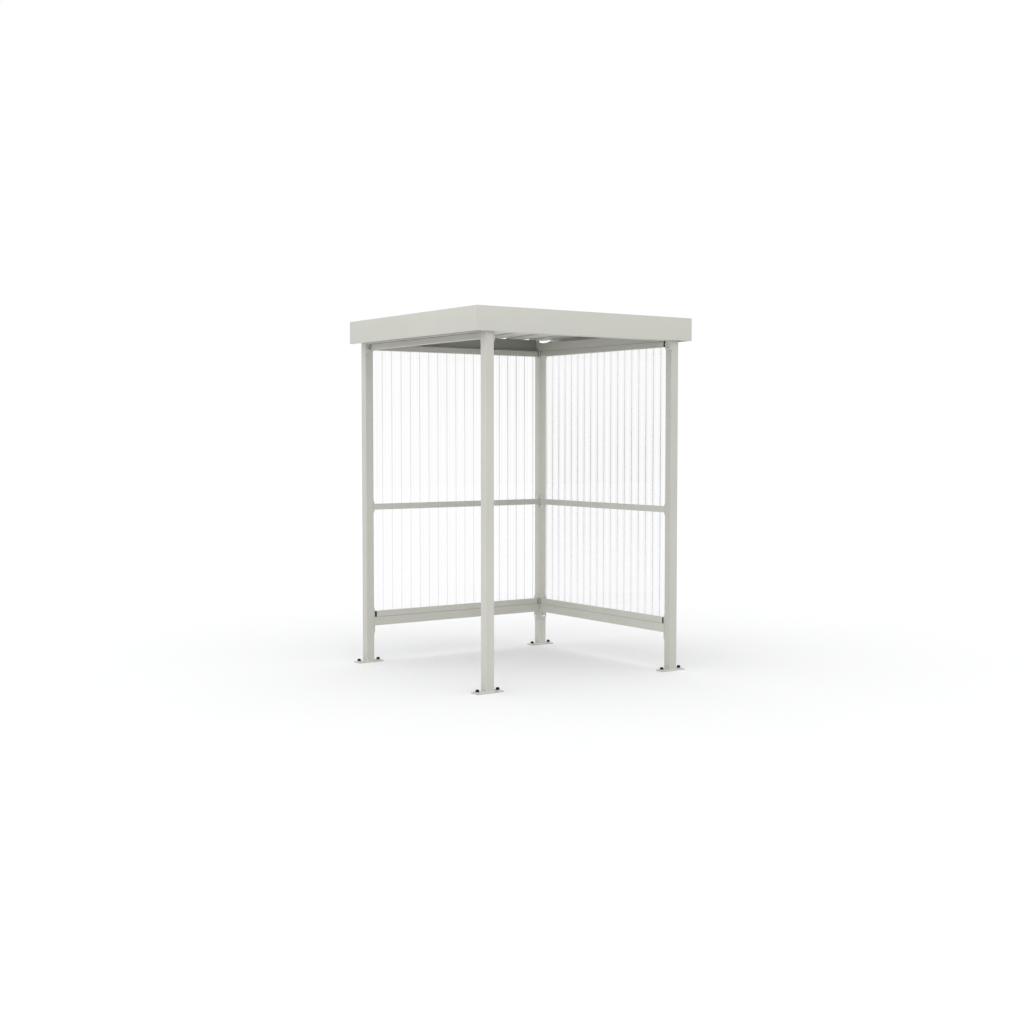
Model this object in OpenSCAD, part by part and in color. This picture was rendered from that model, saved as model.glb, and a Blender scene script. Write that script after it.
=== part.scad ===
// Small open smoking shelter: bolted frame of square steel tube, two walls of
// clear corrugated sheet, two open sides and a flat-looking roof inside a
// folded fascia. Millimetres, +Z up, the entrance side faces -Y.
// The origin is on the ground under the middle of the roof outline.

/* [Plan] */
// Width over the posts, left to right
plan_w = 1540; // [1200:10:2400]
// Depth over the posts, front to back
plan_d = 1540; // [1200:10:2400]
// How far the side fascias stand out past the posts
side_over = 87; // [60:1:160]
// How far the front fascia stands out past the posts
front_over = 33; // [25:1:120]

/* [Heights] */
// Height of the top edge of the fascia
total_h = 2350; // [2250:5:2700]
// Height of the fascia face
fascia_h = 150; // [140:1:200]
// Underside of the bottom beams
bottom_z = 253; // [200:1:350]
// Underside of the middle rails
mid_z = 1060; // [900:5:1300]

/* [Frame tube] */
// Outside size of the posts and beams
post = 60; // [60:1:80]
// Wall thickness of the posts and beams
post_wall = 3; // [2:0.5:5]
// Outside corner radius of the posts and beams
post_r = 5; // [4:0.5:8]
// Height of the battens and middle rails
batten_h = 40; // [40:1:50]
// Depth of the battens and middle rails
batten_d = 30; // [25:1:30]
// Wall thickness of the battens and middle rails
batten_wall = 2; // [1.5:0.5:3]
// Outside corner radius of the battens and middle rails
batten_r = 5; // [3:0.5:6]
// Gap between a batten and the post at its near end
gap_near = 20; // [12:1:24]
// Gap between a batten and the post at the back right corner
gap_far = 16; // [12:1:30]
// Gap between the left batten and the post at its far end
gap_left = 32; // [12:1:40]

/* [Feet] */
// Length of a base plate, left to right
foot_l = 195; // [180:1:240]
// Width of a base plate
foot_w = 75; // [70:1:120]
// Thickness of a base plate
foot_t = 8; // [6:1:12]
// Spacing of the two anchor holes in a base plate
hole_pitch = 150; // [130:1:160]
// Diameter of the anchor holes
hole_d = 14; // [12:0.5:18]

/* [End plates] */
// Thickness of the bolted end plates
plate_t = 6; // [4:1:8]
// Height of the corners cut off the tall end plates
plate_cut = 25; // [10:1:30]
// Height of the corners cut off the small end plates
small_cut = 12; // [6:1:16]

/* [Wall sheets] */
// Pitch of the wall corrugation
wave_pitch = 76; // [60:1:90]
// Depth of the wall corrugation
wave_depth = 18; // [12:1:22]
// Thickness of the wall sheet
wave_t = 1.5; // [1:0.1:3]

/* [Roof] */
// Pitch of the roof ribs
rib_pitch = 207; // [180:1:260]
// Height of the roof ribs
rib_h = 20; // [16:1:22]
// Thickness of the roof sheet
roof_t = 1; // [0.8:0.1:2]
// Underside of the roof sheet at its back edge, below the fascia top
roof_drop = 66; // [58:1:80]
// Fall of the roof over its whole depth
roof_fall = 34; // [20:1:36]
// Thickness of the folded fascia sheet
fascia_t = 2; // [1.5:0.1:3]
// Width of the returns folded along the fascia edges
fascia_lip = 20; // [12:1:24]

/* [Hidden] */
$fn = 48;
e = 0.01;
x_l = -plan_w/2;                     // outer face of the left posts
x_r = plan_w/2;                      // outer face of the right posts
y_f = -(plan_d + front_over + (foot_w - post)/2)/2 + front_over;   // outer face of the front posts
y_b = y_f + plan_d;                  // outer face of the back posts
xi_l = x_l + post;                   // inner faces
xi_r = x_r - post;
yi_f = y_f + post;
yi_b = y_b - post;
fas_z = total_h - fascia_h;          // bottom edge of the fascia
top_z = fas_z;                       // underside of the top beams
post_top = top_z + post;
ch_z = bottom_z + post;              // underside of the bottom battens
tb_z = top_z - batten_h;             // underside of the top battens
out_l = x_l - side_over;             // outside faces of the fascia
out_r = x_r + side_over;
out_f = y_f - front_over;
roof_len = y_b - out_f;
roof_b = total_h - roof_drop;        // underside of the roof sheet at y_b
roof_a = atan(roof_fall/roof_len);
// height of the sheet's underside at depth y
function under(y) = roof_b + (y_b - y)*roof_fall/roof_len;
sheet_y = yi_b + batten_d;           // inner face of the back wall sheet
sheet_x = xi_r + batten_d;           // inner face of the right wall sheet
clear = plate_t + 1;                 // wall sheets stop clear of the end plates
paint = [0.80, 0.80, 0.765];
paint2 = [0.77, 0.77, 0.735];
zinc = [0.72, 0.72, 0.70];
clearc = [0.90, 0.93, 0.95, 0.45];
black = [0.06, 0.06, 0.06];

// ---------- profiles ----------
// rectangle with round corners, one corner at the origin
module rrect(w, d, r) {
  union() {
    translate([r, 0]) square([w - 2*r, d]);
    translate([0, r]) square([w, d - 2*r]);
    for (x = [r, w - r], y = [r, d - r]) translate([x, y]) circle(r = r);
  }
}
// hollow tube section, one corner at the origin
module tube_sec(w, d, t, r) {
  difference() {
    rrect(w, d, r);
    translate([t, t]) rrect(w - 2*t, d - 2*t, max(r - t, 0.8));
  }
}
// section laid along X: local x becomes Y, local y becomes Z
module along_x(x0, x1) { translate([x0, 0, 0]) rotate([90, 0, 90]) linear_extrude(x1 - x0) children(); }
// section laid along Y: local x becomes X, local y becomes Z
module along_y(y0, y1) { translate([0, y1, 0]) rotate([90, 0, 0]) linear_extrude(y1 - y0) children(); }

// ---------- frame ----------
module post_at(x, y) color(paint) translate([x, y, foot_t]) linear_extrude(post_top - foot_t) tube_sec(post, post, post_wall, post_r);
module foot_at(x, y) color(paint2) translate([x + post/2, y + post/2, 0])
  linear_extrude(foot_t) difference() {
    translate([-foot_l/2, -foot_w/2]) rrect(foot_l, foot_w, 4);
    for (s = [-1, 1]) translate([s*hole_pitch/2, 0]) circle(d = hole_d);
  }
module beam_x(y, z) color(paint) along_x(xi_l + plate_t, xi_r - plate_t) translate([y, z]) tube_sec(post, post, post_wall, post_r);
module beam_y(x, z) color(paint) along_y(yi_f + plate_t, yi_b - plate_t) translate([x, z]) tube_sec(post, post, post_wall, post_r);
module batten_sec() tube_sec(batten_d, batten_h, batten_wall, batten_r);
module batten_x(z) color(paint) along_x(xi_l + gap_near, xi_r - gap_far) translate([yi_b, z]) batten_sec();
module batten_y(x, z, far) color(paint) along_y(yi_f + gap_near, yi_b - far) translate([x, z]) batten_sec();

// ---------- end plates ----------
// plate outline, w wide, from z0 to z1, with its corners cut off
module plate_outline(w, z0, z1, cut_top, cut_bot) {
  polygon([[0, z0 + cut_bot], [cut_bot*0.55, z0], [w - cut_bot*0.55, z0], [w, z0 + cut_bot],
           [w, z1 - cut_top], [w - cut_top*0.55, z1], [cut_top*0.55, z1], [0, z1 - cut_top]]);
}
// plates on the faces of the two back posts, or of the two front posts
module plates_x(y, w, z0, z1, ct, cb) color(paint) {
  along_x(xi_l, xi_l + plate_t) translate([y, 0]) plate_outline(w, z0, z1, ct, cb);
  along_x(xi_r - plate_t, xi_r) translate([y, 0]) plate_outline(w, z0, z1, ct, cb);
}
module plates_y(x, w, z0, z1, ct, cb) color(paint) {
  along_y(yi_f, yi_f + plate_t) translate([x, 0]) plate_outline(w, z0, z1, ct, cb);
  along_y(yi_b - plate_t, yi_b) translate([x, 0]) plate_outline(w, z0, z1, ct, cb);
}

// ---------- corrugated wall sheet ----------
// one wave as the outer line of the sheet, x from 0 to wave_pitch, y in or out
wf = 0.32*wave_pitch;                // width of the flats
ws = (wave_pitch - 2*wf)/2;          // run of the sloping webs
phase_b = 46.8;                      // where the waves start, from the left posts
phase_r = 45;                        // and from the front posts
function wave_y(u) =
  let (v = u - floor(u/wave_pitch)*wave_pitch)
  v < wf ? 0 : v < wf + ws ? (v - wf)/ws*(wave_depth - wave_t) :
  v < 2*wf + ws ? (wave_depth - wave_t) : (wave_pitch - v)/ws*(wave_depth - wave_t);
// corner points of the wave between two positions a and b
function wave_pts(a, b, ph) = concat([[a, wave_y(a - ph)]],
  [for (k = [floor((a - ph)/wave_pitch) : ceil((b - ph)/wave_pitch)], q = [0, wf, wf + ws, 2*wf + ws])
    let (x = ph + k*wave_pitch + q) if (x > a + 0.5 && x < b - 0.5) [x, wave_y(x - ph)]],
  [[b, wave_y(b - ph)]]);
module wave_sec(a, b, ph) {
  p = wave_pts(a, b, ph);
  n = len(p);
  polygon(concat(p, [for (i = [n - 1 : -1 : 0]) [p[i][0], p[i][1] + wave_t]]));
}

// ---------- roof ----------
rt = 60;                             // top width of a rib
rb = 72;                             // base width of a rib
rc = roof_t*tan(atan2(rib_h, (rb - rt)/2)/2);   // keeps the rib sides as thick as the flats
roof_l = out_l + fascia_t + 1;
roof_r = out_r - fascia_t - 1;
rib_0 = 0;                           // a rib centre, from the middle of the roof
// a line of the sheet, longer than the roof is wide: ribs wider by c, all of it up by u
function rib_line(c, u) = concat([[rib_0 - 9*rib_pitch, u]],
  [for (k = [-8 : 8]) for (q = [[-rb/2 - c, u], [-rt/2 - c, u + rib_h], [rt/2 + c, u + rib_h], [rb/2 + c, u]])
     [rib_0 + k*rib_pitch + q[0], q[1]]],
  [[rib_0 + 9*rib_pitch, u]]);
module roof_sec() {
  p = rib_line(0, 0);
  q = rib_line(rc, roof_t);
  n = len(p);
  intersection() {
    polygon(concat(p, [for (i = [n - 1 : -1 : 0]) q[i]]));
    translate([roof_l, -5]) square([roof_r - roof_l, rib_h + 20]);
  }
}
roof_y0 = out_f + fascia_t + 1;
module roof_sheet() color(zinc)
  translate([0, y_b, roof_b]) rotate([90 - roof_a, 0, 0])
    linear_extrude((y_b - roof_y0)/cos(roof_a) - 0.5) roof_sec();

// side fascia: face, lips and the y range of each
module fascia_side() {
  // face, behind the front fascia
  translate([out_l, out_f + fascia_t, fas_z]) cube([fascia_t, y_b - out_f - fascia_t, fascia_h]);
  for (z = [fas_z, total_h - fascia_t])
    translate([out_l + fascia_t - e, out_f + fascia_lip, z])
      cube([fascia_lip - fascia_t + e, y_b - out_f - fascia_lip, fascia_t]);
}
module fascia_front() color(paint) {
  translate([out_l, out_f, fas_z]) cube([out_r - out_l, fascia_t, fascia_h]);
  for (z = [fas_z, total_h - fascia_t])
    translate([out_l + fascia_t, out_f + fascia_t - e, z])
      cube([out_r - out_l - 2*fascia_t, fascia_lip - fascia_t + e, fascia_t]);
}
module fascia_left() color(paint) fascia_side();
module fascia_right() color(paint) mirror([1, 0, 0]) fascia_side();

// brackets on top of a side beam that carry the side fascia
br_w = 40;
br_t = 5;
module side_brackets() {
  for (y = [yi_f + 90, (yi_f + yi_b)/2, yi_b - 90])
    translate([0, y - br_w/2, 0]) {
      translate([out_l + fascia_t, 0, post_top]) cube([side_over - fascia_t + 45, br_w, br_t]);
      translate([out_l + fascia_t, 0, post_top - 45]) cube([br_t, br_w, 45 + e]);
    }
}
module fascia_brackets_left() color(paint2) side_brackets();
module fascia_brackets_right() color(paint2) mirror([1, 0, 0]) side_brackets();
// short spacer tubes between the front beam and the front fascia
module fascia_brackets_front() color(paint2)
  for (x = [x_l + 250, 0, x_r - 250])
    along_x(x - 30, x + 30) translate([out_f + fascia_t, top_z + 10]) tube_sec(front_over - fascia_t, 40, 3, 4);

// ---------- nodes ----------
module post_front_left() post_at(x_l, y_f);
module post_front_right() post_at(xi_r, y_f);
module post_back_left() post_at(x_l, yi_b);
module post_back_right() post_at(xi_r, yi_b);
module base_plate_front_left() foot_at(x_l, y_f);
module base_plate_front_right() foot_at(xi_r, y_f);
module base_plate_back_left() foot_at(x_l, yi_b);
module base_plate_back_right() foot_at(xi_r, yi_b);

module back_bottom_beam() beam_x(yi_b, bottom_z);
module back_bottom_batten() batten_x(ch_z);
module back_mid_rail() color(paint) along_x(xi_l + plate_t, xi_r - plate_t) translate([yi_b, mid_z]) batten_sec();
module back_top_batten() batten_x(tb_z);
// angle over the back wall that carries the low edge of the roof sheet
module back_roof_angle() color(paint)
  along_x(xi_l + plate_t, xi_r - plate_t) {
    translate([yi_b, top_z]) square([post, 3]);
    translate([y_b - 25, top_z + 3 - e]) square([3, roof_b - top_z - 3 + e]);
    translate([y_b - 22 - e, roof_b - 3]) square([22 + e, 3]);
  }
module back_wall_sheet() color(clearc)
  translate([0, sheet_y, ch_z]) linear_extrude(top_z - ch_z)
    wave_sec(xi_l + clear, xi_r - clear, x_l + phase_b);

module right_bottom_beam() beam_y(xi_r, bottom_z);
module right_bottom_batten() batten_y(xi_r, ch_z, gap_far);
module right_mid_rail() color(paint) along_y(yi_f + plate_t, yi_b - plate_t) translate([xi_r, mid_z]) batten_sec();
module right_top_batten() batten_y(xi_r, tb_z, gap_far);
module right_top_beam() beam_y(xi_r, top_z);
module right_wall_sheet() color(clearc)
  translate([sheet_x, 0, ch_z]) mirror([1, -1, 0]) linear_extrude(top_z - ch_z)
    wave_sec(yi_f + clear, yi_b - clear, y_f + phase_r);

module left_top_beam() beam_y(x_l, top_z);
module left_top_batten() batten_y(xi_l - batten_d, tb_z, gap_left);
module front_top_beam() beam_x(y_f, top_z);
// tube on the front beam that holds up the high edge of the roof sheet
module front_roof_bearer() color(paint)
  along_x(xi_l + 10, xi_r - 10) translate([y_f, post_top]) tube_sec(post, under(yi_f) - post_top, post_wall, post_r);

bp0 = bottom_z - 63;
bp1 = ch_z + batten_h + 32;
tp0 = tb_z - 24;
top_cut = 18;
module back_bottom_end_plates() plates_x(yi_b, post, bp0, bp1, plate_cut, plate_cut);
module right_bottom_end_plates() plates_y(xi_r, post, bp0, bp1, plate_cut, plate_cut);
module back_mid_end_plates() plates_x(yi_b, batten_d, mid_z - 20, mid_z + batten_h + 20, small_cut, small_cut);
module right_mid_end_plates() plates_y(xi_r, batten_d, mid_z - 20, mid_z + batten_h + 20, small_cut, small_cut);
module back_top_end_plates() plates_x(yi_b, post, tb_z, roof_b - 3, small_cut, 3);
module right_top_end_plates() plates_y(xi_r, post, tp0, post_top, small_cut, top_cut);
module left_top_end_plates() plates_y(x_l, post, tp0, post_top, small_cut, top_cut);
module front_top_end_plates() plates_x(y_f, post, tp0, post_top, small_cut, top_cut);

// ---------- black plastic caps ----------
cap_t = 3;
module cap_sec() rrect(batten_d, batten_h, batten_r);
module caps_x(z) {
  along_x(xi_l + gap_near - cap_t, xi_l + gap_near) translate([yi_b, z]) cap_sec();
  along_x(xi_r - gap_far, xi_r - gap_far + cap_t) translate([yi_b, z]) cap_sec();
}
module caps_y(x, z, far) {
  along_y(yi_f + gap_near - cap_t, yi_f + gap_near) translate([x, z]) cap_sec();
  along_y(yi_b - far, yi_b - far + cap_t) translate([x, z]) cap_sec();
}
module bottom_batten_caps() color(black) { caps_x(ch_z); caps_y(xi_r, ch_z, gap_far); }
module top_batten_caps() color(black) { caps_x(tb_z); caps_y(xi_r, tb_z, gap_far); caps_y(xi_l - batten_d, tb_z, gap_left); }
module post_caps() color(black)
  for (x = [x_l, xi_r], y = [y_f, yi_b]) translate([x, y, post_top]) linear_extrude(3) rrect(post, post, post_r);

post_front_left();
post_front_right();
post_back_left();
post_back_right();
base_plate_front_left();
base_plate_front_right();
base_plate_back_left();
base_plate_back_right();
back_bottom_beam();
back_bottom_batten();
back_mid_rail();
back_top_batten();
back_roof_angle();
back_wall_sheet();
right_bottom_beam();
right_bottom_batten();
right_mid_rail();
right_top_batten();
right_top_beam();
right_wall_sheet();
left_top_beam();
left_top_batten();
front_top_beam();
front_roof_bearer();
back_bottom_end_plates();
right_bottom_end_plates();
back_mid_end_plates();
right_mid_end_plates();
back_top_end_plates();
right_top_end_plates();
left_top_end_plates();
front_top_end_plates();
bottom_batten_caps();
top_batten_caps();
post_caps();
fascia_front();
fascia_left();
fascia_right();
fascia_brackets_left();
fascia_brackets_right();
fascia_brackets_front();
roof_sheet();
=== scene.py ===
# Smoking shelter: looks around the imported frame. Metres, +Z up.
import bpy
import bmesh
import math
from mathutils import Vector, Matrix


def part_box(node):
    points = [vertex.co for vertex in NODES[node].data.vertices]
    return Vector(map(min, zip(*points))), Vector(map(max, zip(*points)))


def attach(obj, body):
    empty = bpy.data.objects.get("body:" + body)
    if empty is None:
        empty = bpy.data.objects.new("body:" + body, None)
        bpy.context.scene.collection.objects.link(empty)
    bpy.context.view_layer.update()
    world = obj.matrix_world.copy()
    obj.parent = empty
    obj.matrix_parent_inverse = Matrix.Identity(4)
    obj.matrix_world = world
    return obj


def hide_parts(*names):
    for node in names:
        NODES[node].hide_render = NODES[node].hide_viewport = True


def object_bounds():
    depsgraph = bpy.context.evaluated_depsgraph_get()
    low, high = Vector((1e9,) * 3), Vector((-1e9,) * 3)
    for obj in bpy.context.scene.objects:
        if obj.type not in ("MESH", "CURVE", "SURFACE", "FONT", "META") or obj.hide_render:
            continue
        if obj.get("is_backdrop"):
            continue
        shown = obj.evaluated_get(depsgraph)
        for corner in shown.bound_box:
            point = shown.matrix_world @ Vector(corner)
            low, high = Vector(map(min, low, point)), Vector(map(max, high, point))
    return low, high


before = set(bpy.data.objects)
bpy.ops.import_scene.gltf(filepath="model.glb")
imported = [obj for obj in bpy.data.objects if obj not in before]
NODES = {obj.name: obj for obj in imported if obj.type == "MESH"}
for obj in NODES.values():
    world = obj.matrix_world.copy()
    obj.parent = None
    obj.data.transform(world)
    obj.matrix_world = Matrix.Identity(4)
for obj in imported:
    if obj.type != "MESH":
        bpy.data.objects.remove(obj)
CAD_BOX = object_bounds()
MM = 0.001
scene = bpy.context.scene


# ------------------------------------------------------------------ places
def nbox(n):
    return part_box(n)


(pl0, pl1) = nbox("post_front_left")
(pr0, pr1) = nbox("post_front_right")
(pb0, pb1) = nbox("post_back_left")
X_L, X_R = pl0.x, pr1.x              # outer faces of the posts
XI_L, XI_R = pl1.x, pr0.x            # inner faces
Y_F, Y_B = pl0.y, pb1.y
YI_F, YI_B = pl1.y, pb0.y
POST = pl1.x - pl0.x
FOOT_T = nbox("base_plate_front_left")[1].z
POST_TOP = pl1.z
(bb0, bb1) = nbox("back_bottom_beam")
BEAM_Z0, BEAM_Z1 = bb0.z, bb1.z
(bt0, bt1) = nbox("back_bottom_batten")
BAT_Z0, BAT_Z1 = bt0.z, bt1.z
(mr0, mr1) = nbox("back_mid_rail")
MID_Z0, MID_Z1 = mr0.z, mr1.z
(tt0, tt1) = nbox("back_top_batten")
TB_Z0, TB_Z1 = tt0.z, tt1.z
BAT_D = bt1.y - bt0.y
(f0, f1) = nbox("fascia_front")
(fl0, fl1) = nbox("fascia_left")
OUT_L, OUT_R, OUT_F = f0.x, f1.x, f0.y
FAS_Z0, FAS_Z1 = f0.z, f1.z
(rs0, rs1) = nbox("roof_sheet")


# ------------------------------------------------------------------ materials
def lin(*c):
    return tuple((x / 255 / 12.92 if x / 255 <= 0.04045 else ((x / 255 + 0.055) / 1.055) ** 2.4) for x in c) + (1.0,)


def new_mat(name):
    m = bpy.data.materials.new(name)
    m.use_nodes = True
    nt = m.node_tree
    nt.nodes.clear()
    out = nt.nodes.new("ShaderNodeOutputMaterial")
    return m, nt, out


def noise(nt, vec, scale, detail=2.0, rough=0.5):
    n = nt.nodes.new("ShaderNodeTexNoise")
    n.inputs["Scale"].default_value = scale
    n.inputs["Detail"].default_value = detail
    n.inputs["Roughness"].default_value = rough
    nt.links.new(vec, n.inputs["Vector"])
    return n.outputs["Fac"]


def ramp(nt, fac, a, b, lo, hi):
    r = nt.nodes.new("ShaderNodeMapRange")
    r.inputs["From Min"].default_value = a
    r.inputs["From Max"].default_value = b
    r.inputs["To Min"].default_value = lo
    r.inputs["To Max"].default_value = hi
    nt.links.new(fac, r.inputs["Value"])
    return r.outputs["Result"]


def mixcol(nt, fac, a, b):
    m = nt.nodes.new("ShaderNodeMix")
    m.data_type = "RGBA"
    nt.links.new(fac, m.inputs["Factor"])
    for sock, val in ((m.inputs["A"], a), (m.inputs["B"], b)):
        if isinstance(val, tuple):
            sock.default_value = val
        else:
            nt.links.new(val, sock)
    return m.outputs["Result"]


def coords(nt):
    return nt.nodes.new("ShaderNodeTexCoord").outputs["Object"]


def scaled(c, k):
    return (c[0] * k, c[1] * k, c[2] * k, 1.0)


def math_node(nt, op, a, b, clamp=False):
    n = nt.nodes.new("ShaderNodeMath")
    n.operation = op
    n.use_clamp = clamp
    for sock, val in ((n.inputs[0], a), (n.inputs[1], b)):
        if isinstance(val, (int, float)):
            sock.default_value = val
        else:
            nt.links.new(val, sock)
    return n.outputs[0]


def paint(name, col, rough=0.42, peel=0.06, cloud=0.03, metallic=0.0, spec=0.5, low=None, flank_shade=None):
    """Powder coat: fine orange peel, a faint cloudiness in tone and in gloss; with low, painted contact shade,
    the colour darker towards the bottom; with the flank option, painted shade on the sideways-facing rib sides."""
    m, nt, out = new_mat(name)
    b = nt.nodes.new("ShaderNodeBsdfPrincipled")
    v = coords(nt)
    big = noise(nt, v, 2.3, 3.0)
    fine = noise(nt, v, 900.0, 2.0)
    tone = mixcol(nt, ramp(nt, big, 0.3, 0.7, 0.0, 1.0), scaled(col, 1 - cloud), scaled(col, 1 + cloud))
    # painted contact shade: below low[1] the colour fades to a darker copy (low[2]) at low[0], where the piece meets
    # the floor
    if low:
        part = nt.nodes.new("ShaderNodeSeparateXYZ")
        nt.links.new(v, part.inputs["Vector"])
        tone = mixcol(nt, ramp(nt, part.outputs["Z"], low[0], low[1], 0.0, 1.0), scaled(col, low[2]), tone)
    # painted shade: faces turned towards plus or minus X, the rib flanks, take a darker copy of the colour
    if flank_shade:
        geo = nt.nodes.new("ShaderNodeNewGeometry")
        side = nt.nodes.new("ShaderNodeSeparateXYZ")
        nt.links.new(geo.outputs["Normal"], side.inputs["Vector"])
        tone = mixcol(nt, ramp(nt, math_node(nt, "ABSOLUTE", side.outputs["X"], 0.0), 0.3, 0.9, 0.0, 1.0), tone, scaled(col, flank_shade))
    speck = mixcol(nt, ramp(nt, fine, 0.35, 0.65, 0.0, 1.0), (0.985, 0.985, 0.985, 1), (1.0, 1.0, 1.0, 1))
    mul = nt.nodes.new("ShaderNodeMix")
    mul.data_type = "RGBA"
    mul.blend_type = "MULTIPLY"
    mul.inputs["Factor"].default_value = 1.0
    nt.links.new(tone, mul.inputs["A"])
    nt.links.new(speck, mul.inputs["B"])
    nt.links.new(mul.outputs["Result"], b.inputs["Base Color"])
    nt.links.new(ramp(nt, noise(nt, v, 14.0, 3.0), 0.3, 0.7, rough - 0.04, rough + 0.05), b.inputs["Roughness"])
    b.inputs["Metallic"].default_value = metallic
    b.inputs["Specular IOR Level"].default_value = spec
    bump = nt.nodes.new("ShaderNodeBump")
    bump.inputs["Strength"].default_value = peel
    bump.inputs["Distance"].default_value = 0.0006
    nt.links.new(noise(nt, v, 420.0, 2.0), bump.inputs["Height"])
    nt.links.new(bump.outputs["Normal"], b.inputs["Normal"])
    nt.links.new(b.outputs["BSDF"], out.inputs["Surface"])
    return m


def metal(name, col, rough=0.3, spangle=0.0):
    m, nt, out = new_mat(name)
    b = nt.nodes.new("ShaderNodeBsdfPrincipled")
    v = coords(nt)
    b.inputs["Metallic"].default_value = 1.0
    n = noise(nt, v, 160.0, 3.0)
    nt.links.new(mixcol(nt, ramp(nt, n, 0.3, 0.7, 0, 1), scaled(col, 0.9), scaled(col, 1.06)), b.inputs["Base Color"])
    nt.links.new(ramp(nt, noise(nt, v, 600.0, 2.0), 0.3, 0.7, rough - 0.05, rough + 0.1), b.inputs["Roughness"])
    bump = nt.nodes.new("ShaderNodeBump")
    bump.inputs["Strength"].default_value = 0.08
    bump.inputs["Distance"].default_value = 0.0003
    nt.links.new(noise(nt, v, 900.0, 3.0), bump.inputs["Height"])
    nt.links.new(bump.outputs["Normal"], b.inputs["Normal"])
    nt.links.new(b.outputs["BSDF"], out.inputs["Surface"])
    return m


def plastic(name, col, rough=0.45, grain=0.12, gs=1400.0, spec=0.5):
    m, nt, out = new_mat(name)
    b = nt.nodes.new("ShaderNodeBsdfPrincipled")
    v = coords(nt)
    nt.links.new(mixcol(nt, ramp(nt, noise(nt, v, 60.0, 3.0), 0.3, 0.7, 0, 1), scaled(col, 0.85), scaled(col, 1.2)), b.inputs["Base Color"])
    nt.links.new(ramp(nt, noise(nt, v, 300.0, 2.0), 0.3, 0.7, rough - 0.05, rough + 0.08), b.inputs["Roughness"])
    bump = nt.nodes.new("ShaderNodeBump")
    b.inputs["Specular IOR Level"].default_value = spec
    bump.inputs["Strength"].default_value = grain
    bump.inputs["Distance"].default_value = 0.0002
    nt.links.new(noise(nt, v, gs, 2.0), bump.inputs["Height"])
    nt.links.new(bump.outputs["Normal"], b.inputs["Normal"])
    nt.links.new(b.outputs["BSDF"], out.inputs["Surface"])
    return m


def clear_sheet(name, head_on, shade_fade=None):
    """Clear extruded sheet: see-through head on, darker where a web is seen edge on and along
    the folds, with a thin gloss on the side that faces the viewer."""
    m, nt, out = new_mat(name)
    v = coords(nt)
    lw = nt.nodes.new("ShaderNodeLayerWeight")
    lw.inputs["Blend"].default_value = 0.5
    f = lw.outputs["Facing"]
    f3 = math_node(nt, "POWER", f, 3.0)
    step = nt.nodes.new("ShaderNodeMapRange")
    step.interpolation_type = "SMOOTHSTEP"
    step.inputs["From Min"].default_value = SHEET_STEP[0]
    step.inputs["From Max"].default_value = SHEET_STEP[1]
    step.inputs["To Min"].default_value = 0.0
    step.inputs["To Max"].default_value = SHEET_STEP[2]
    nt.links.new(f, step.inputs["Value"])
    loss = math_node(nt, "ADD", math_node(nt, "MULTIPLY", f3, SHEET_CUBE), step.outputs["Result"])
    loss = math_node(nt, "ADD", math_node(nt, "MULTIPLY", f, SHEET_LINE), loss)
    at = nt.nodes.new("ShaderNodeAttribute")
    at.attribute_name = "fold"
    loss = math_node(nt, "ADD", loss, math_node(nt, "MULTIPLY", at.outputs["Fac"], SHEET_FOLD), True)
    # painted shade: the edge-on darkening is scaled up or down by height and across the sheet
    if shade_fade:
        part = nt.nodes.new("ShaderNodeSeparateXYZ")
        nt.links.new(v, part.inputs["Vector"])
        for axis, q0, q1, a, b in shade_fade:
            loss = math_node(nt, "MULTIPLY", loss, ramp(nt, part.outputs[axis], q0, q1, a, b))
    tr = nt.nodes.new("ShaderNodeBsdfTransparent")
    nt.links.new(mixcol(nt, loss, head_on, (0.0, 0.0, 0.0, 1)), tr.inputs["Color"])
    gl = nt.nodes.new("ShaderNodeBsdfPrincipled")
    gl.inputs["Base Color"].default_value = (0.97, 0.97, 0.97, 1)
    gl.inputs["Metallic"].default_value = 1.0
    nt.links.new(ramp(nt, noise(nt, v, 30.0, 2.0), 0.3, 0.7, 0.03, 0.06), gl.inputs["Roughness"])
    geo = nt.nodes.new("ShaderNodeNewGeometry")
    front = math_node(nt, "SUBTRACT", 1.0, geo.outputs["Backfacing"])
    k = math_node(nt, "MULTIPLY", math_node(nt, "ADD", math_node(nt, "MULTIPLY", f3, SHEET_GLOSS[1]), SHEET_GLOSS[0]), front)
    mx = nt.nodes.new("ShaderNodeMixShader")
    nt.links.new(k, mx.inputs["Fac"])
    nt.links.new(tr.outputs["BSDF"], mx.inputs[1])
    nt.links.new(gl.outputs["BSDF"], mx.inputs[2])
    # light that lamps and walls send through the sheet
    lp = nt.nodes.new("ShaderNodeLightPath")
    either = math_node(nt, "MAXIMUM", lp.outputs["Is Shadow Ray"], lp.outputs["Is Diffuse Ray"])
    tl = nt.nodes.new("ShaderNodeBsdfTransparent")
    far = nt.nodes.new("ShaderNodeMapRange")
    far.interpolation_type = "SMOOTHSTEP"
    far.inputs["From Min"].default_value = SHEET_NEAR[0]
    far.inputs["From Max"].default_value = SHEET_NEAR[1]
    nt.links.new(lp.outputs["Ray Length"], far.inputs["Value"])
    nt.links.new(mixcol(nt, far.outputs["Result"], (1.0, 1.0, 1.0, 1), SHEET_LIGHT), tl.inputs["Color"])
    mx2 = nt.nodes.new("ShaderNodeMixShader")
    nt.links.new(either, mx2.inputs["Fac"])
    nt.links.new(mx.outputs["Shader"], mx2.inputs[1])
    nt.links.new(tl.outputs["BSDF"], mx2.inputs[2])
    nt.links.new(mx2.outputs["Shader"], out.inputs["Surface"])
    return m


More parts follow.
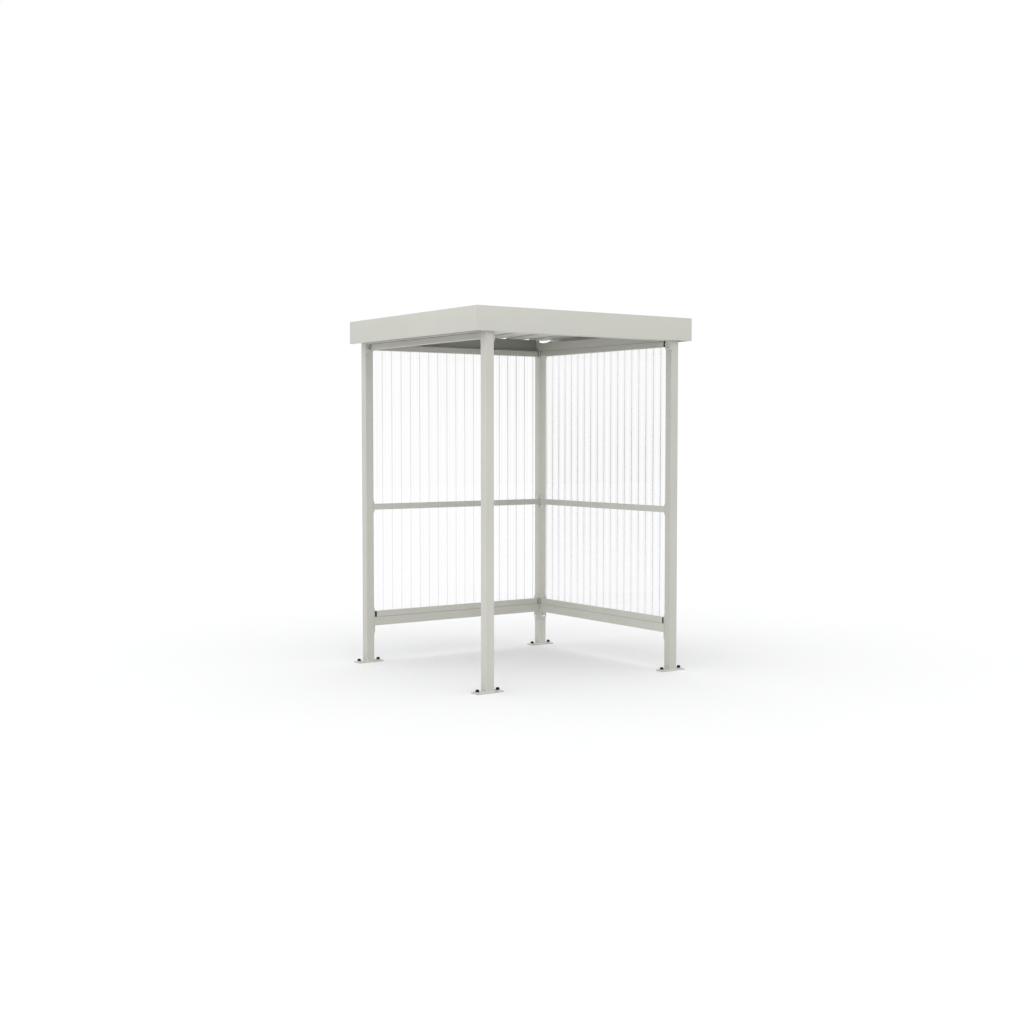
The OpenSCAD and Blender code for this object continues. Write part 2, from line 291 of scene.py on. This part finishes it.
SHEET_HEAD_ON = (0.998, 0.998, 0.998, 1)
# painted shade: the right wall's sheet is a dimmer copy, and the edge-on darkening of both sheets is made stronger or
# weaker by height and across the sheet
SHEET_HEAD_ON_SHADED_R = (0.983, 0.983, 0.983, 1)
SHEET_SHADE_FADE_R = (("Z", 1.5, 2.1, 0.92, 0.42), ("Z", 0.3, 1.3, 0.4, 1.0))
SHEET_SHADE_FADE_B = (("Z", 1.5, 1.8, 0.87, 1.27), ("X", -0.5, 0.2, 0.83, 1.04), ("X", 0.2, 0.5, 1.0, 1.6), ("X", 0.55, 0.6, 1.0, 0.66))
SHEET_CUBE = 0.32
SHEET_LINE = 0.02
SHEET_STEP = (0.84, 0.95, 0.60)
SHEET_FOLD = 0.06
SHEET_GLOSS = (0.035, 0.10)
SHEET_LIGHT = (0.75, 0.75, 0.75, 1)
SHEET_NEAR = (0.03, 0.5)
PAINT = paint("powder_coat", lin(193, 193, 185))
PAINT_PLATE = paint("powder_coat_plate", lin(193, 193, 185), rough=0.40, peel=0.06)
# painted light and shade: a lighter, glossier copy of the powder coat for the feet, with painted contact shade in its
# bottom 7 mm
PAINT_LIT_SHADED_FOOT = paint("powder_coat_lit_shaded_foot", lin(205, 205, 198), rough=0.20, peel=0.02, low=(0.0, 0.007, 0.62))
# painted shade: slightly darker copies of the powder coat for single members, each set to its shade
PAINT_SHADED_A = paint("powder_coat_shaded_a", lin(188, 188, 180))
PAINT_SHADED_B = paint("powder_coat_shaded_b", lin(190, 190, 182))
# painted shade: darker copies of the same powder coat for the top members and the back angle, which sit in the shade
# under the roof
PAINT_SHADED_TOP = paint("powder_coat_shaded_top", lin(185, 185, 177))
PAINT_SHADED_TOP_BACK = paint("powder_coat_shaded_top_back", lin(178, 178, 170))
PAINT_SHADED_BACK = paint("powder_coat_shaded_back", lin(150, 150, 142), rough=0.42, peel=0.06)
FASCIA = paint("powder_coat_fascia", lin(194, 194, 186), rough=0.38, peel=0.04, cloud=0.015)
# painted light and shade: the roof coat is made much lighter than the frame's to brighten the underside's pans, and
# its rib flanks get painted shade at 0.66 of the colour
ROOF = paint("coated_roof_steel_lit_and_shaded", lin(224, 224, 217), rough=0.36, peel=0.03, flank_shade=0.66)
CLEAR = clear_sheet("clear_corrugated_sheet", SHEET_HEAD_ON, SHEET_SHADE_FADE_B)
CLEAR_R = clear_sheet("clear_corrugated_sheet_right_shaded", SHEET_HEAD_ON_SHADED_R, SHEET_SHADE_FADE_R)
BLACK = plastic("black_plastic", lin(11, 11, 11), rough=0.5, spec=0.3)
BLACK_BOLT = plastic("black_bolt_cap", lin(9, 9, 9), rough=0.5, grain=0.05, spec=0.25)
ZINC = metal("zinc_plated", lin(205, 205, 205), rough=0.28)
BOLT = metal("bright_zinc", lin(238, 238, 240), rough=0.22)
RUBBER = plastic("washer_rubber", lin(30, 30, 31), rough=0.7)


# ------------------------------------------------------------------ mesh tools
def finish_obj(name, bm, mat, angle=32.0, replaces=()):
    me = bpy.data.meshes.new(name)
    bm.normal_update()
    bm.to_mesh(me)
    bm.free()
    ob = bpy.data.objects.new(name, me)
    scene.collection.objects.link(ob)
    me.materials.append(mat)
    me.shade_smooth()
    me.set_sharp_from_angle(angle=math.radians(angle))
    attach(ob, "root")
    if replaces:
        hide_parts(*replaces)
    return ob


def bevel_bm(bm, width, seg=2, angle=30.0):
    edges = [e for e in bm.edges if len(e.link_faces) == 2 and e.calc_face_angle(0.0) > math.radians(angle)]
    bmesh.ops.bevel(bm, geom=edges, offset=width, offset_type="OFFSET", segments=seg, profile=0.5, affect="EDGES", clamp_overlap=True)


def bevel_copy(node, name, mat, width=0.8 * MM, seg=2, angle=35.0):
    bm = bmesh.new()
    bm.from_mesh(NODES[node].data)
    bmesh.ops.remove_doubles(bm, verts=bm.verts, dist=2e-6)
    bmesh.ops.dissolve_limit(bm, angle_limit=math.radians(0.5), verts=bm.verts, edges=bm.edges)
    bevel_bm(bm, width, seg, angle)
    return finish_obj(name, bm, mat, replaces=(node,))


def add_ring_solid(bm, loops, close=True):
    """Joins rings of points (each a list of Vectors of one length) into a closed solid."""
    rings = [[bm.verts.new(p) for p in lp] for lp in loops]
    n = len(rings[0])
    for a, b in zip(rings, rings[1:]):
        for i in range(n):
            j = (i + 1) % n
            bm.faces.new((a[i], a[j], b[j], b[i]))
    if close:
        bm.faces.new(list(reversed(rings[0])))
        bm.faces.new(rings[-1])
    return rings


def frame_to(axis):
    """Matrix that turns +Z onto axis."""
    return Vector((0, 0, 1)).rotation_difference(Vector(axis).normalized()).to_matrix().to_4x4()


def lathe(bm, prof, at, axis, seg=24, turn=0.0):
    """Closed solid of revolution: prof is [(r, h), ...] from the bottom up, h along axis from at."""
    M = Matrix.Translation(Vector(at)) @ frame_to(axis)
    loops = []
    for r, h in prof:
        loops.append([M @ Vector((r * math.cos(turn + 2 * math.pi * i / seg), r * math.sin(turn + 2 * math.pi * i / seg), h)) for i in range(seg)])
    add_ring_solid(bm, loops)


def hex_head(bm, at, axis, af, h, flange=0.0, turn=0.0):
    """Hexagon head with a chamfered top and a shallow dish; af is across flats."""
    r = af / math.sqrt(3)
    M = Matrix.Translation(Vector(at)) @ frame_to(axis)
    n = 36
    loops = []
    for hh, f, rnd in ((0.0, 1.0, 0.0), (h * 0.78, 1.0, 0.0), (h * 0.92, 0.99, 0.5), (h, 0.90, 0.95), (h, 0.62, 1.0), (h * 0.9, 0.5, 1.0)):
        lp = []
        for i in range(n):
            t = 2 * math.pi * i / n
            k = t % (math.pi / 3) - math.pi / 6
            full = r * f * math.cos(math.pi / 6) / math.cos(k)
            rr = full * (1 - rnd) + min(full, r * f * 0.92) * rnd
            lp.append(M @ Vector((rr * math.cos(t + turn), rr * math.sin(t + turn), hh)))
        loops.append(lp)
    add_ring_solid(bm, loops)
    if flange:
        lathe(bm, [(flange, 0), (flange, h * 0.12), (flange * 0.93, h * 0.2), (r * 0.9, h * 0.3)], at, axis, 28)


def bead(bm, path, outs, ups, leg, closed=False, step=1.6 * MM):
    """Weld bead laid in the corner along path; outs and ups are the two wall directions at each point."""
    pts, oo, uu = [], [], []
    n = len(path)
    for i in range(n if closed else n - 1):
        a, b = path[i], path[(i + 1) % n]
        m = max(1, int((b - a).length / step))
        for k in range(m):
            t = k / m
            pts.append(a.lerp(b, t))
            oo.append(outs[i].lerp(outs[(i + 1) % n], t).normalized())
            uu.append(ups[i].lerp(ups[(i + 1) % n], t).normalized())
    if not closed:
        pts.append(path[-1]), oo.append(outs[-1]), uu.append(ups[-1])
    rings = []
    m = len(pts)
    for i, (q, o, u) in enumerate(zip(pts, oo, uu)):
        rip = 1.0 + 0.10 * math.sin(i * 1.7) + 0.05 * math.sin(i * 0.53 + 1.0)
        if not closed:
            e = min(i, m - 1 - i) / 2.5
            rip *= min(1.0, 0.35 + 0.65 * e)
        L = leg * rip
        ring = []
        for a, b in ((-0.12, -0.12), (1.0, -0.12), (0.92, 0.14), (0.62, 0.56), (0.14, 0.92), (-0.12, 1.0)):
            ring.append(bm.verts.new(q + o * (a * L) + u * (b * L)))
        rings.append(ring)
    k = len(rings[0])
    pairs = list(zip(rings, rings[1:])) + ([(rings[-1], rings[0])] if closed else [])
    for ra, rb in pairs:
        for i in range(k):
            j = (i + 1) % k
            bm.faces.new((ra[i], ra[j], rb[j], rb[i]))
    if not closed:
        bm.faces.new(list(reversed(rings[0])))
        bm.faces.new(rings[-1])


# ------------------------------------------------------------------ clear wall sheets
WP = 76 * MM
WD = 18 * MM
WT = 1.5 * MM
WF = 0.32 * WP
WS = (WP - 2 * WF) / 2
FOLD = 2.6 * MM


def wave(u):
    v = u % WP
    if v < WF:
        return 0.0
    if v < WF + WS:
        return (v - WF) / WS * (WD - WT)
    if v < 2 * WF + WS:
        return WD - WT
    return (WP - v) / WS * (WD - WT)


def fillet_line(pts, r, n=5, folds=None):
    """Polyline with its corners rounded; folds, if given, takes 1 for each point inside a rounding."""
    out = [pts[0]]
    folds = [] if folds is None else folds
    folds.append(0.0)
    for a, b, c in zip(pts, pts[1:], pts[2:]):
        d0, d1 = (a - b), (c - b)
        l0, l1 = d0.length, d1.length
        d0.normalize(), d1.normalize()
        ang = math.acos(max(-1, min(1, d0.dot(d1))))
        if ang > math.radians(176):
            out.append(b)
            folds.append(0.0)
            continue
        t = min(r / math.tan(ang / 2), l0 * 0.45, l1 * 0.45)
        rr = t * math.tan(ang / 2)
        p0, p1 = b + d0 * t, b + d1 * t
        cen = b + (d0 + d1).normalized() * (rr / math.sin(ang / 2))
        a0 = (p0 - cen)
        a1 = (p1 - cen)
        tot = a0.angle_signed(a1) if hasattr(a0, "angle_signed") else a0.angle(a1)
        for i in range(n + 1):
            th = -tot * i / n
            out.append(cen + Vector((a0.x * math.cos(th) - a0.y * math.sin(th), a0.x * math.sin(th) + a0.y * math.cos(th))))
            folds.append(0.0 if i in (0, n) else 1.0)
    out.append(pts[-1])
    folds.append(0.0)
    return out


def offset_line(pts, t):
    """The same line moved t to its left."""
    out = []
    for i, p in enumerate(pts):
        d0 = (pts[i] - pts[i - 1]).normalized() if i > 0 else None
        d1 = (pts[i + 1] - pts[i]).normalized() if i < len(pts) - 1 else None
        n0 = Vector((-d0.y, d0.x)) if d0 else None
        n1 = Vector((-d1.y, d1.x)) if d1 else None
        if n0 is None:
            out.append(p + n1 * t)
        elif n1 is None:
            out.append(p + n0 * t)
        else:
            b = (n0 + n1).normalized()
            out.append(p + b * (t / max(0.5, b.dot(n0))))
    return out


def wave_line(a, b, ph):
    pts = [Vector((a, wave(a - ph)))]
    k = math.floor((a - ph) / WP)
    while ph + k * WP < b:
        for q in (0, WF, WF + WS, 2 * WF + WS):
            x = ph + k * WP + q
            if a + 1 * MM < x < b - 1 * MM:
                pts.append(Vector((x, wave(x - ph))))
        k += 1
    pts.append(Vector((b, wave(b - ph))))
    return pts


def sheet_solid(name, line, t, place, z0, z1, mat, replaces, cuts=1, folds=None):
    """A folded sheet of thickness t standing on line; place(u, w, z) gives the point."""
    other = offset_line(line, t)
    ring2 = line + list(reversed(other))
    bm = bmesh.new()
    lay = bm.verts.layers.float.new("fold") if folds else None
    zs = [z0 + (z1 - z0) * i / cuts for i in range(cuts + 1)]
    rings = []
    for z in zs:
        rings.append([bm.verts.new(place(p.x, p.y, z)) for p in ring2])
    n = len(ring2)
    for a, b in zip(rings, rings[1:]):
        for i in range(n):
            j = (i + 1) % n
            bm.faces.new((a[i], a[j], b[j], b[i]))
    m = len(line)
    for i in range(m - 1):
        j, k = n - 1 - i, n - 2 - i
        bm.faces.new((rings[0][i], rings[0][j], rings[0][k], rings[0][i + 1]))
        bm.faces.new((rings[-1][i], rings[-1][i + 1], rings[-1][k], rings[-1][j]))
    if folds:
        f2 = folds + list(reversed(folds))
        for ring in rings:
            for vert, w in zip(ring, f2):
                vert[lay] = w
    bmesh.ops.recalc_face_normals(bm, faces=bm.faces)
    return finish_obj(name, bm, mat, angle=50.0, replaces=replaces)


PH_B = X_L + 46.8 * MM
PH_R = Y_F + 45 * MM
(ws0, ws1) = nbox("back_wall_sheet")
folds = []
line = fillet_line(wave_line(ws0.x, ws1.x, PH_B), FOLD, 5, folds)
SHEET_Y = ws0.y
sheet_solid("back_wall_clear_sheet", line, WT, lambda u, w, z: Vector((u, SHEET_Y + w, z)), ws0.z, ws1.z, CLEAR, ("back_wall_sheet",), 1, folds)
(wr0, wr1) = nbox("right_wall_sheet")
folds = []
line = fillet_line(wave_line(wr0.y, wr1.y, PH_R), FOLD, 5, folds)
SHEET_X = wr0.x
sheet_solid("right_wall_clear_sheet", line, WT, lambda u, w, z: Vector((SHEET_X + w, u, z)), wr0.z, wr1.z, CLEAR_R, ("right_wall_sheet",), 1, folds)

# ------------------------------------------------------------------ carried-over nodes
PAINTED = [n for n in NODES if n.startswith(("post_front", "post_back")) or n.endswith(("_beam", "_batten", "_mid_rail", "_bearer"))]
for n in NODES.values():
    n.data.materials.clear()
    n.data.materials.append(PAINT)
# painted shade: the top beams and battens under the roof take darker copies of the powder coat
for n in ("left_top_beam", "left_top_batten", "right_top_beam", "right_top_batten"):
    NODES[n].data.materials[0] = PAINT_SHADED_TOP
NODES["back_top_batten"].data.materials[0] = PAINT_SHADED_TOP_BACK
# painted shade: these members take the slightly darker copies of the powder coat
for n in ("post_front_right", "back_mid_rail"):
    NODES[n].data.materials[0] = PAINT_SHADED_A
for n in ("post_back_left", "back_bottom_beam", "back_bottom_batten"):
    NODES[n].data.materials[0] = PAINT_SHADED_B
for n in ("post_caps", "bottom_batten_caps", "top_batten_caps"):
    NODES[n].data.materials[0] = BLACK

# bevelled pieces that stand for the plain plates
for node in ("base_plate_front_left", "base_plate_front_right", "base_plate_back_left", "base_plate_back_right"):
    bevel_copy(node, node + "_plate", PAINT_LIT_SHADED_FOOT, 0.8 * MM, 3)
for node in [n for n in NODES if n.endswith("end_plates")]:
    bevel_copy(node, node + "_pair", PAINT_PLATE, 0.8 * MM, 2)
for node in ("fascia_front", "fascia_left", "fascia_right"):
    bevel_copy(node, node + "_sheet", FASCIA, 0.9 * MM, 3)
for node in ("fascia_brackets_left", "fascia_brackets_right", "fascia_brackets_front"):
    bevel_copy(node, node + "_edged", PAINT, 0.6 * MM, 2)
# painted shade: the back angle under the roof takes a much darker copy of the powder coat
bevel_copy("back_roof_angle", "back_roof_angle_edged", PAINT_SHADED_BACK, 0.6 * MM, 2)

# ribbed roof sheet: flat pans and trapezoid ribs with rounded folds, laid on its slope
RIB_P, RIB_T, RIB_B, RIB_H, ROOF_T = 207 * MM, 60 * MM, 72 * MM, 20 * MM, 1.0 * MM
RIB_0 = 0.0
ROOF_SLOPE = math.atan(34 * MM / (Y_B - OUT_F))


def rib_height(x):
    """Height of the sheet's underside above the pans, across the roof."""
    d = abs(x - RIB_0 - RIB_P * round((x - RIB_0) / RIB_P))
    return RIB_H * min(1.0, max(0.0, (RIB_B / 2 - d) / (RIB_B / 2 - RIB_T / 2)))


pts = [Vector((rs0.x, rib_height(rs0.x)))]
for k in range(-5, 6):
    for q, h in ((-RIB_B / 2, 0), (-RIB_T / 2, RIB_H), (RIB_T / 2, RIB_H), (RIB_B / 2, 0)):
        x = RIB_0 + k * RIB_P + q
        if rs0.x + 1 * MM < x < rs1.x - 1 * MM:
            pts.append(Vector((x, h)))
pts.append(Vector((rs1.x, rib_height(rs1.x))))
roof_line = fillet_line(pts, 3.0 * MM, 4)
SA, CA = math.sin(ROOF_SLOPE), math.cos(ROOF_SLOPE)
ROOF_LEN = (Y_B - (OUT_F + 3 * MM)) / CA - 0.5 * MM


def on_roof(u, w, s):
    """Point on the roof: u across, w above the underside of the pans, s up the slope from the back."""
    return Vector((u, Y_B + w * SA - s * CA, rs0.z + w * CA + s * SA))


sheet_solid("roof_ribbed_sheet", roof_line, ROOF_T, on_roof, 0.0, ROOF_LEN, ROOF, ("roof_sheet",), 12)
for node in ("post_caps", "bottom_batten_caps", "top_batten_caps"):
    bevel_copy(node, node + "_plugs", BLACK, 0.9 * MM, 3)

# ------------------------------------------------------------------ anchors on the base plates
bm_w = bmesh.new()
bm_c = bmesh.new()
for px in ((X_L + XI_L) / 2, (X_R + XI_R) / 2):
    for py in ((Y_F + YI_F) / 2, (Y_B + YI_B) / 2):
        for s in (-1, 1):
            at = Vector((px + s * 75 * MM, py, FOOT_T))
            lathe(bm_w, [(13 * MM, 0), (13 * MM, 3.0 * MM), (12.5 * MM, 3.5 * MM), (6 * MM, 3.5 * MM)], at, (0, 0, 1), 32)
            prof = [(10.6 * MM, 3.5 * MM), (11.5 * MM, 4.4 * MM), (12.0 * MM, 6.6 * MM), (12.0 * MM, 11.5 * MM)]
            for i in range(1, 9):
                a = math.pi / 2 * i / 8
                prof.append((11.9 * MM * math.cos(a) ** 0.7 + 0.1 * MM, 11.5 * MM + 7.0 * MM * math.sin(a)))
            lathe(bm_c, prof, at, (0, 0, 1), 32)
finish_obj("anchor_washers", bm_w, ZINC)
finish_obj("anchor_caps", bm_c, BLACK_BOLT, 45)

# ------------------------------------------------------------------ bolts on the end plates
X, Y, Z = Vector((1, 0, 0)), Vector((0, 1, 0)), Vector((0, 0, 1))
(pe0, pe1) = nbox("back_bottom_end_plates")
(pm0, pm1) = nbox("back_mid_end_plates")
(pt0, pt1) = nbox("left_top_end_plates")
PT = pe0.x - XI_L + 6 * MM           # plate thickness
MIDY = (mr0.y + mr1.y) / 2
(rm0, rm1) = nbox("right_mid_rail")
MIDX = (rm0.x + rm1.x) / 2
bm_b = bmesh.new()
bm_s = bmesh.new()
turn = [0.0]


def plate_bolt(at, axis, af, h, wr, wt):
    turn[0] += 0.61
    lathe(bm_s, [(wr, 0), (wr, wt * 0.75), (wr - 0.35 * MM, wt), (af * 0.42, wt)], at, axis, 36)
    hex_head(bm_b, Vector(at) + axis * wt, axis, af, h, 0.0, turn[0])


for z, af, h, wr, wt, y, x in (
        (pe0.z + 30 * MM, 17 * MM, 8.8 * MM, 10.5 * MM, 2.0 * MM, YI_B + POST / 2, XI_R + POST / 2),
        (pm0.z + 10 * MM, 10 * MM, 4.2 * MM, 6.2 * MM, 1.4 * MM, MIDY, MIDX),
        (pm1.z - 10 * MM, 10 * MM, 4.2 * MM, 6.2 * MM, 1.4 * MM, MIDY, MIDX)):
    plate_bolt((XI_L + PT, y, z), X, af, h, wr, wt)
    plate_bolt((XI_R - PT, y, z), -X, af, h, wr, wt)
    plate_bolt((x, YI_F + PT, z), Y, af, h, wr, wt)
    plate_bolt((x, YI_B - PT, z), -Y, af, h, wr, wt)
z = TB_Z0 - 13 * MM
plate_bolt((X_L + 22 * MM, YI_F + PT, z + 20 * MM), Y, 13 * MM, 5.4 * MM, 7.8 * MM, 1.6 * MM)
plate_bolt((X_L + 22 * MM, YI_B - PT, z + 20 * MM), -Y, 13 * MM, 5.4 * MM, 7.8 * MM, 1.6 * MM)
for x, a in ((XI_L + PT, X), (XI_R - PT, -X)):
    plate_bolt((x, (Y_F + YI_F) / 2, z), a, 13 * MM, 5.4 * MM, 7.8 * MM, 1.6 * MM)
# bolts down through the side brackets into the beams
for n, cx in (("fascia_brackets_left", (X_L + XI_L) / 2), ("fascia_brackets_right", (X_R + XI_R) / 2)):
    (q0, q1) = nbox(n)
    for y in (q0.y + 20 * MM, (q0.y + q1.y) / 2, q1.y - 20 * MM):
        plate_bolt((cx, y, q1.z), Z, 13 * MM, 5.4 * MM, 8.0 * MM, 1.6 * MM)
finish_obj("plate_bolt_heads", bm_b, BOLT, 28)
finish_obj("plate_bolt_washers", bm_s, BOLT, 35)

# ------------------------------------------------------------------ weld beads
bm = bmesh.new()
R5 = 5 * MM
for px in (X_L, XI_R):
    for py in (Y_F, YI_B):
        path, outs = [], []
        for cx, cy, a0 in ((px + POST - R5, py + POST - R5, 0), (px + R5, py + POST - R5, 90), (px + R5, py + R5, 180), (px + POST - R5, py + R5, 270)):
            for k in range(5):
                a = math.radians(a0 + 22.5 * k)
                o = Vector((math.cos(a), math.sin(a), 0))
                path.append(Vector((cx, cy, FOOT_T)) + o * R5)
                outs.append(o)
        bead(bm, path, outs, [Z] * len(path), 4.2 * MM, True)
finish_obj("post_foot_welds", bm, PAINT_LIT_SHADED_FOOT, 60)
bm = bmesh.new()


def edge_weld(a, b, o, u, leg):
    a, b = Vector(a), Vector(b)
    bead(bm, [a, b], [o, o], [u, u], leg)


I5 = 5 * MM
for zz, u, leg, d in ((BEAM_Z0, -Z, 4.0 * MM, POST), (BAT_Z0, Z, 4.0 * MM, POST), (MID_Z0, -Z, 2.6 * MM, BAT_D), (MID_Z1, Z, 2.6 * MM, BAT_D)):
    for x, o in ((XI_L + PT, X), (XI_R - PT, -X)):
        edge_weld((x, YI_B + I5, zz), (x, YI_B + d - I5, zz), o, u, leg)
    for y, o in ((YI_F + PT, Y), (YI_B - PT, -Y)):
        edge_weld((XI_R + I5, y, zz), (XI_R + d - I5, y, zz), o, u, leg)
for x in (X_L, XI_R):
    for y, o in ((YI_F + PT, Y), (YI_B - PT, -Y)):
        edge_weld((x + I5, y, TB_Z1), (x + POST - I5, y, TB_Z1), o, -Z, 4.0 * MM)
for x, o in ((XI_L + PT, X), (XI_R - PT, -X)):
    edge_weld((x, Y_F + I5, TB_Z1), (x, Y_F + POST - I5, TB_Z1), o, -Z, 4.0 * MM)
finish_obj("beam_end_welds", bm, PAINT, 60)

# ------------------------------------------------------------------ screws that hold the sheets
bm_h = bmesh.new()
bm_r = bmesh.new()


def sheet_screw(bh, br, at, axis, k):
    at, axis = Vector(at), Vector(axis)
    lathe(br, [(6.6 * MM, 0), (7.0 * MM, 0.8 * MM), (6.6 * MM, 2.0 * MM)], at, axis, 28)
    lathe(bh, [(7.3 * MM, 1.9 * MM), (7.4 * MM, 2.3 * MM), (5.6 * MM, 3.0 * MM), (4.5 * MM, 3.2 * MM)], at, axis, 28)
    hex_head(bh, at + axis * 3.1 * MM, axis, 8 * MM, 4.2 * MM, 5.3 * MM, 0.37 * k)


kk = 0
for zz in ((BAT_Z0 + BAT_Z1) / 2, (MID_Z0 + MID_Z1) / 2, (TB_Z0 + TB_Z1) / 2):
    for ph, lo, hi, wall in ((PH_B, ws0.x, ws1.x, 0), (PH_R, wr0.y, wr1.y, 1)):
        k = math.ceil((lo + 24 * MM - ph - WF / 2) / WP)
        first = k
        while ph + k * WP + WF / 2 < hi - 24 * MM:
            u = ph + k * WP + WF / 2
            if (k - first) % 2 == 0:
                kk += 1
                if wall == 0:
                    sheet_screw(bm_h, bm_r, (u, SHEET_Y + WT, zz), (0, 1, 0), kk)
                else:
                    sheet_screw(bm_h, bm_r, (SHEET_X + WT, u, zz), (1, 0, 0), kk)
            k += 1
finish_obj("wall_screw_heads", bm_h, ZINC, 28)
finish_obj("wall_screw_seals", bm_r, RUBBER, 28)
bm_h = bmesh.new()
bm_r = bmesh.new()
up = on_roof(0, 1, 0) - on_roof(0, 0, 0)
for s in ((Y_B - 13 * MM), (Y_F + POST / 2)):
    t = (Y_B - s) / CA
    for k in range(-4, 5):
        for q in (-58 * MM, 58 * MM):
            x = RIB_0 + k * RIB_P + q
            if XI_L + 20 * MM < x < XI_R - 20 * MM:
                kk += 1
                sheet_screw(bm_h, bm_r, on_roof(x, ROOF_T, t), up, kk)
finish_obj("roof_screw_heads", bm_h, ROOF, 28)
finish_obj("roof_screw_seals", bm_r, RUBBER, 28)

# ------------------------------------------------------------------ floor, light, camera
bm = bmesh.new()
S = 30.0
vs = [bm.verts.new((x, y, 0.0)) for x, y in ((-S, -S), (S, -S), (S, S), (-S, S))]
bm.faces.new(vs)
me = bpy.data.meshes.new("floor")
bm.to_mesh(me)
bm.free()
floor = bpy.data.objects.new("floor", me)
scene.collection.objects.link(floor)
fm, nt, out = new_mat("pale_floor")
fb = nt.nodes.new("ShaderNodeBsdfPrincipled")
nt.links.new(mixcol(nt, noise(nt, coords(nt), 1.5, 2.0), (0.902, 0.905, 0.912, 1), (0.906, 0.909, 0.916, 1)), fb.inputs["Base Color"])
fb.inputs["Roughness"].default_value = 0.9
fb.inputs["Specular IOR Level"].default_value = 0.0
nt.links.new(fb.outputs["BSDF"], out.inputs["Surface"])
me.materials.append(fm)
floor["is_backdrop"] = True

W_STR = 0.905
W_SIDE = 0.3
W_UP = 0.35
W_HOR = 0.0
W_BACK = -0.18
world = bpy.data.worlds.new("studio")
scene.world = world
world.use_nodes = True
wn = world.node_tree
wn.nodes.clear()
wo = wn.nodes.new("ShaderNodeOutputWorld")
b1 = wn.nodes.new("ShaderNodeBackground")
b1.inputs["Color"].default_value = (1, 1, 1, 1)
tc = wn.nodes.new("ShaderNodeTexCoord")
dt = wn.nodes.new("ShaderNodeVectorMath")
dt.operation = "DOT_PRODUCT"
wn.links.new(tc.outputs["Generated"], dt.inputs[0])
dt.inputs[1].default_value = (-W_SIDE * W_STR, W_BACK * W_STR, W_UP * W_STR)
sep = wn.nodes.new("ShaderNodeSeparateXYZ")
wn.links.new(tc.outputs["Generated"], sep.inputs[0])
low = math_node(wn, "POWER", math_node(wn, "SUBTRACT", 1.0, sep.outputs["Z"], True), 4.0)
sky = math_node(wn, "ADD", math_node(wn, "MULTIPLY", low, W_HOR), math_node(wn, "ADD", dt.outputs["Value"], W_STR))
wn.links.new(sky, b1.inputs["Strength"])
b2 = wn.nodes.new("ShaderNodeBackground")
b2.inputs["Color"].default_value = (1, 1, 1, 1)
b2.inputs["Strength"].default_value = 1.0
lp = wn.nodes.new("ShaderNodeLightPath")
mx = wn.nodes.new("ShaderNodeMixShader")
wn.links.new(lp.outputs["Is Camera Ray"], mx.inputs["Fac"])
wn.links.new(b1.outputs["Background"], mx.inputs[1])
wn.links.new(b2.outputs["Background"], mx.inputs[2])
wn.links.new(mx.outputs["Shader"], wo.inputs["Surface"])


def area(name, at, to, size, power):
    li = bpy.data.lights.new(name, "AREA")
    li.shape = "SQUARE"
    li.size = size
    li.energy = power
    ob = bpy.data.objects.new(name, li)
    scene.collection.objects.link(ob)
    ob.location = at
    d = Vector(to) - Vector(at)
    ob.rotation_euler = d.to_track_quat("-Z", "Y").to_euler()
    ob.visible_camera = False
    return ob


area("top_softbox", (-1.5, -1.5, 7.0), (0, 0, 0), 5.0, 12)

cam = bpy.data.cameras.new("camera")
cam.sensor_width = 36.0
cam.lens = 50.205
cam.clip_end = 200
co = bpy.data.objects.new("camera", cam)
scene.collection.objects.link(co)
co.location = (-5.59322, -7.91863, 1.56192)
co.rotation_euler = (math.radians(90 - 2.999), 0.0, math.radians(54.996 - 90))
scene.camera = co
scene.view_settings.view_transform = "Standard"
scene.view_settings.look = "None"
scene.view_settings.exposure = 0.0
scene.view_settings.gamma = 1.0

VIS_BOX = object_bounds()


def plain(b):
    if hasattr(b, "x"):
        return [float(v) for v in b]
    if isinstance(b, (list, tuple)):
        return [plain(x) for x in b]
    if isinstance(b, dict):
        return {k: plain(v) for k, v in b.items()}
    return float(b)


{"cad": plain(CAD_BOX), "visual": plain(VIS_BOX)}
